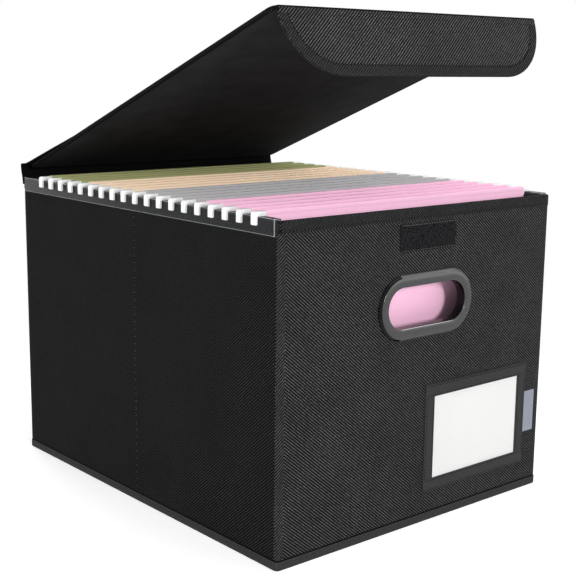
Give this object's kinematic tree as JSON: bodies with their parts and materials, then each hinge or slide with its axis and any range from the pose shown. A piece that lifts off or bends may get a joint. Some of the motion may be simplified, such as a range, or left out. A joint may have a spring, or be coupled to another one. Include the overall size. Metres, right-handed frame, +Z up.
{
  "type": "portable file box",
  "caption": "Portable cloth-covered file box: hinged lid with a front flap, clear side rails, sliding hanging folders in soft colours, finger-slot handles and a label pocket.",
  "frame": {"origin": "middle of the underside of the base, on the surface that the box stands on", "axes": "+X to the right along the front wall as seen from the front, +Y from the front wall to the back wall, +Z up"},
  "size_m": [0.3208, 0.3915, 0.4208],
  "materials": {
    "cloth": "matt woven cloth over board",
    "board": "matt nonwoven over board",
    "clear_rail": "clear",
    "handle": "gloss",
    "hook_and_loop": "fuzzy loops",
    "ribbon": "ribbed ribbon",
    "card": "smooth card",
    "tag": "woven tape",
    "pink_paper": "matt card",
    "grey_paper": "matt card",
    "peach_paper": "matt card",
    "olive_paper": "matt card",
    "hook": "satin white"
  },
  "bodies": {
    "box": {"front_wall": "cloth", "back_wall": "cloth", "left_wall_front": "cloth", "left_wall_rear": "cloth", "right_wall_front": "cloth", "right_wall_rear": "cloth", "base_panel": "cloth", "base_board": "board", "base_binding": "cloth", "left_rail": "clear_rail", "right_rail": "clear_rail", "front_handle": "handle", "back_handle": "handle", "handle_rings": "handle", "box_patch": "hook_and_loop", "label_pocket": "ribbon", "side_tag": "tag", "hinge_strip": "cloth"},
    "lid": {"lid_panel": "cloth"},
    "flap": {"lid_flap": "cloth", "flap_patch": "hook_and_loop"},
    "card": {"label_card": "card"},
    "folder_01": {"folder_01": "pink_paper", "hangers_01": "hook"},
    "folder_02": {"folder_02": "pink_paper", "hangers_02": "hook"},
    "folder_03": {"folder_03": "pink_paper", "hangers_03": "hook"},
    "folder_04": {"folder_04": "pink_paper", "hangers_04": "hook"},
    "folder_05": {"folder_05": "pink_paper", "hangers_05": "hook"},
    "folder_06": {"folder_06": "grey_paper", "hangers_06": "hook"},
    "folder_07": {"folder_07": "grey_paper", "hangers_07": "hook"},
    "folder_08": {"folder_08": "grey_paper", "hangers_08": "hook"},
    "folder_09": {"folder_09": "grey_paper", "hangers_09": "hook"},
    "folder_10": {"folder_10": "grey_paper", "hangers_10": "hook"},
    "folder_11": {"folder_11": "peach_paper", "hangers_11": "hook"},
    "folder_12": {"folder_12": "peach_paper", "hangers_12": "hook"},
    "folder_13": {"folder_13": "peach_paper", "hangers_13": "hook"},
    "folder_14": {"folder_14": "peach_paper", "hangers_14": "hook"},
    "folder_15": {"folder_15": "peach_paper", "hangers_15": "hook"},
    "folder_16": {"folder_16": "olive_paper", "hangers_16": "hook"},
    "folder_17": {"folder_17": "olive_paper", "hangers_17": "hook"},
    "folder_18": {"folder_18": "olive_paper", "hangers_18": "hook"},
    "folder_19": {"folder_19": "olive_paper", "hangers_19": "hook"}
  },
  "joints": [
    {"name": "lid_hinge", "type": "hinge", "parent": "box", "child": "lid", "pos_m": [0, 0.195, 0.28], "axis": [-1, 0, 0], "range_deg": [-21, 199]},
    {"name": "flap_fold", "type": "hinge", "parent": "lid", "child": "flap", "pos_m": [0, -0.17472, 0.4171], "axis": [-1, 0, 0], "range_deg": [0, 85]},
    {"name": "card_slide", "type": "slide", "parent": "box", "child": "card", "axis": [0, 0, 1], "range_m": [0, 0.048]},
    {"name": "folder_01_slide", "type": "slide", "parent": "box", "child": "folder_01", "axis": [0, 1, 0], "range_m": [-0.006, 0.006]},
    {"name": "folder_02_slide", "type": "slide", "parent": "box", "child": "folder_02", "axis": [0, 1, 0], "range_m": [-0.006, 0.006]},
    {"name": "folder_03_slide", "type": "slide", "parent": "box", "child": "folder_03", "axis": [0, 1, 0], "range_m": [-0.006, 0.006]},
    {"name": "folder_04_slide", "type": "slide", "parent": "box", "child": "folder_04", "axis": [0, 1, 0], "range_m": [-0.006, 0.006]},
    {"name": "folder_05_slide", "type": "slide", "parent": "box", "child": "folder_05", "axis": [0, 1, 0], "range_m": [-0.006, 0.006]},
    {"name": "folder_06_slide", "type": "slide", "parent": "box", "child": "folder_06", "axis": [0, 1, 0], "range_m": [-0.006, 0.006]},
    {"name": "folder_07_slide", "type": "slide", "parent": "box", "child": "folder_07", "axis": [0, 1, 0], "range_m": [-0.006, 0.006]},
    {"name": "folder_08_slide", "type": "slide", "parent": "box", "child": "folder_08", "axis": [0, 1, 0], "range_m": [-0.006, 0.006]},
    {"name": "folder_09_slide", "type": "slide", "parent": "box", "child": "folder_09", "axis": [0, 1, 0], "range_m": [-0.006, 0.006]},
    {"name": "folder_10_slide", "type": "slide", "parent": "box", "child": "folder_10", "axis": [0, 1, 0], "range_m": [-0.006, 0.006]},
    {"name": "folder_11_slide", "type": "slide", "parent": "box", "child": "folder_11", "axis": [0, 1, 0], "range_m": [-0.006, 0.006]},
    {"name": "folder_12_slide", "type": "slide", "parent": "box", "child": "folder_12", "axis": [0, 1, 0], "range_m": [-0.006, 0.006]},
    {"name": "folder_13_slide", "type": "slide", "parent": "box", "child": "folder_13", "axis": [0, 1, 0], "range_m": [-0.006, 0.006]},
    {"name": "folder_14_slide", "type": "slide", "parent": "box", "child": "folder_14", "axis": [0, 1, 0], "range_m": [-0.006, 0.006]},
    {"name": "folder_15_slide", "type": "slide", "parent": "box", "child": "folder_15", "axis": [0, 1, 0], "range_m": [-0.006, 0.006]},
    {"name": "folder_16_slide", "type": "slide", "parent": "box", "child": "folder_16", "axis": [0, 1, 0], "range_m": [-0.006, 0.006]},
    {"name": "folder_17_slide", "type": "slide", "parent": "box", "child": "folder_17", "axis": [0, 1, 0], "range_m": [-0.006, 0.006]},
    {"name": "folder_18_slide", "type": "slide", "parent": "box", "child": "folder_18", "axis": [0, 1, 0], "range_m": [-0.006, 0.006]},
    {"name": "folder_19_slide", "type": "slide", "parent": "box", "child": "folder_19", "axis": [0, 1, 0], "range_m": [-0.006, 0.006]}
  ]
}
